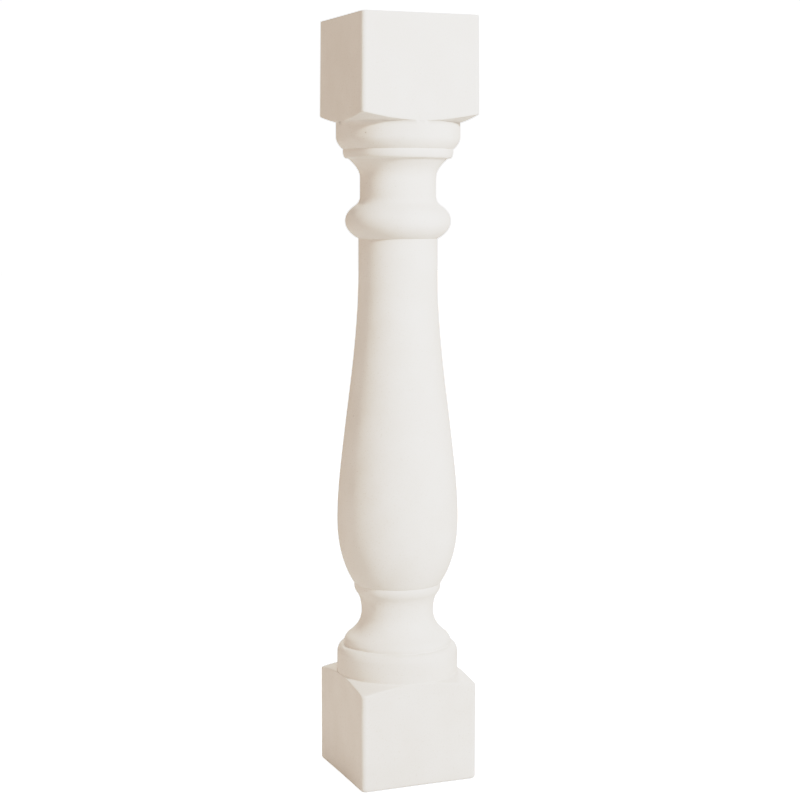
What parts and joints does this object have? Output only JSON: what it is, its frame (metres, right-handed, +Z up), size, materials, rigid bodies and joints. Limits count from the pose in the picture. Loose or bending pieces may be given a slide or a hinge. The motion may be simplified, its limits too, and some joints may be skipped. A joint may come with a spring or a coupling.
{
  "type": "baluster",
  "caption": "Cast concrete baluster: a turned vase shaft with a ring, bead and torus mouldings, between square blocks at foot and head.",
  "frame": {"origin": "middle of the flat underside of the base block", "axes": "+Z up along the axis of the turned work; the flat faces of both square blocks look along +X, -X, +Y and -Y"},
  "size_m": [0.127, 0.127, 0.78],
  "materials": {
    "cast_concrete": "matt, smooth off the mould, off-white"
  },
  "bodies": {
    "root": {"baluster": "cast_concrete"}
  },
  "joints": []
}
